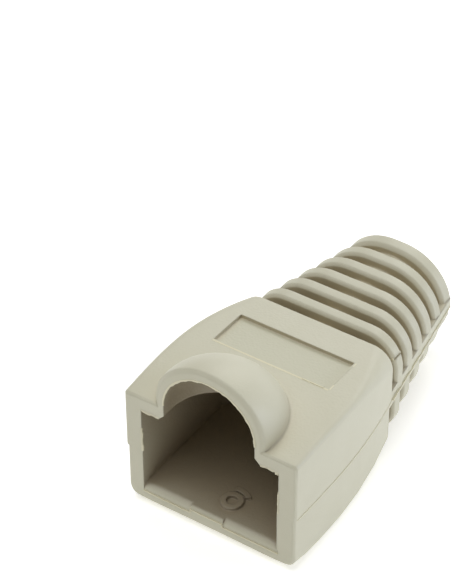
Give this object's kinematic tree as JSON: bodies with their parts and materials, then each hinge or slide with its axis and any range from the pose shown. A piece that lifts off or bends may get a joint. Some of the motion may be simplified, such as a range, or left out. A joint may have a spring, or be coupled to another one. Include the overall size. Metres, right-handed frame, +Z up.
{
  "type": "strain relief boot",
  "caption": "Soft moulded cable boot with a rectangular plug mouth, a domed latch hood on top, a sunk label panel and a tapered, slotted tail ending in a round cable hole.",
  "frame": {"origin": "middle of the footprint, on the surface the boot rests on", "axes": "+X across the boot, +Y from the plug mouth to the cable end, +Z up towards the latch hood"},
  "size_m": [0.015, 0.0268, 0.0156],
  "materials": {
    "boot": "satin matt moulded surface, warm grey"
  },
  "bodies": {
    "root": {"boot": "boot"}
  },
  "joints": []
}
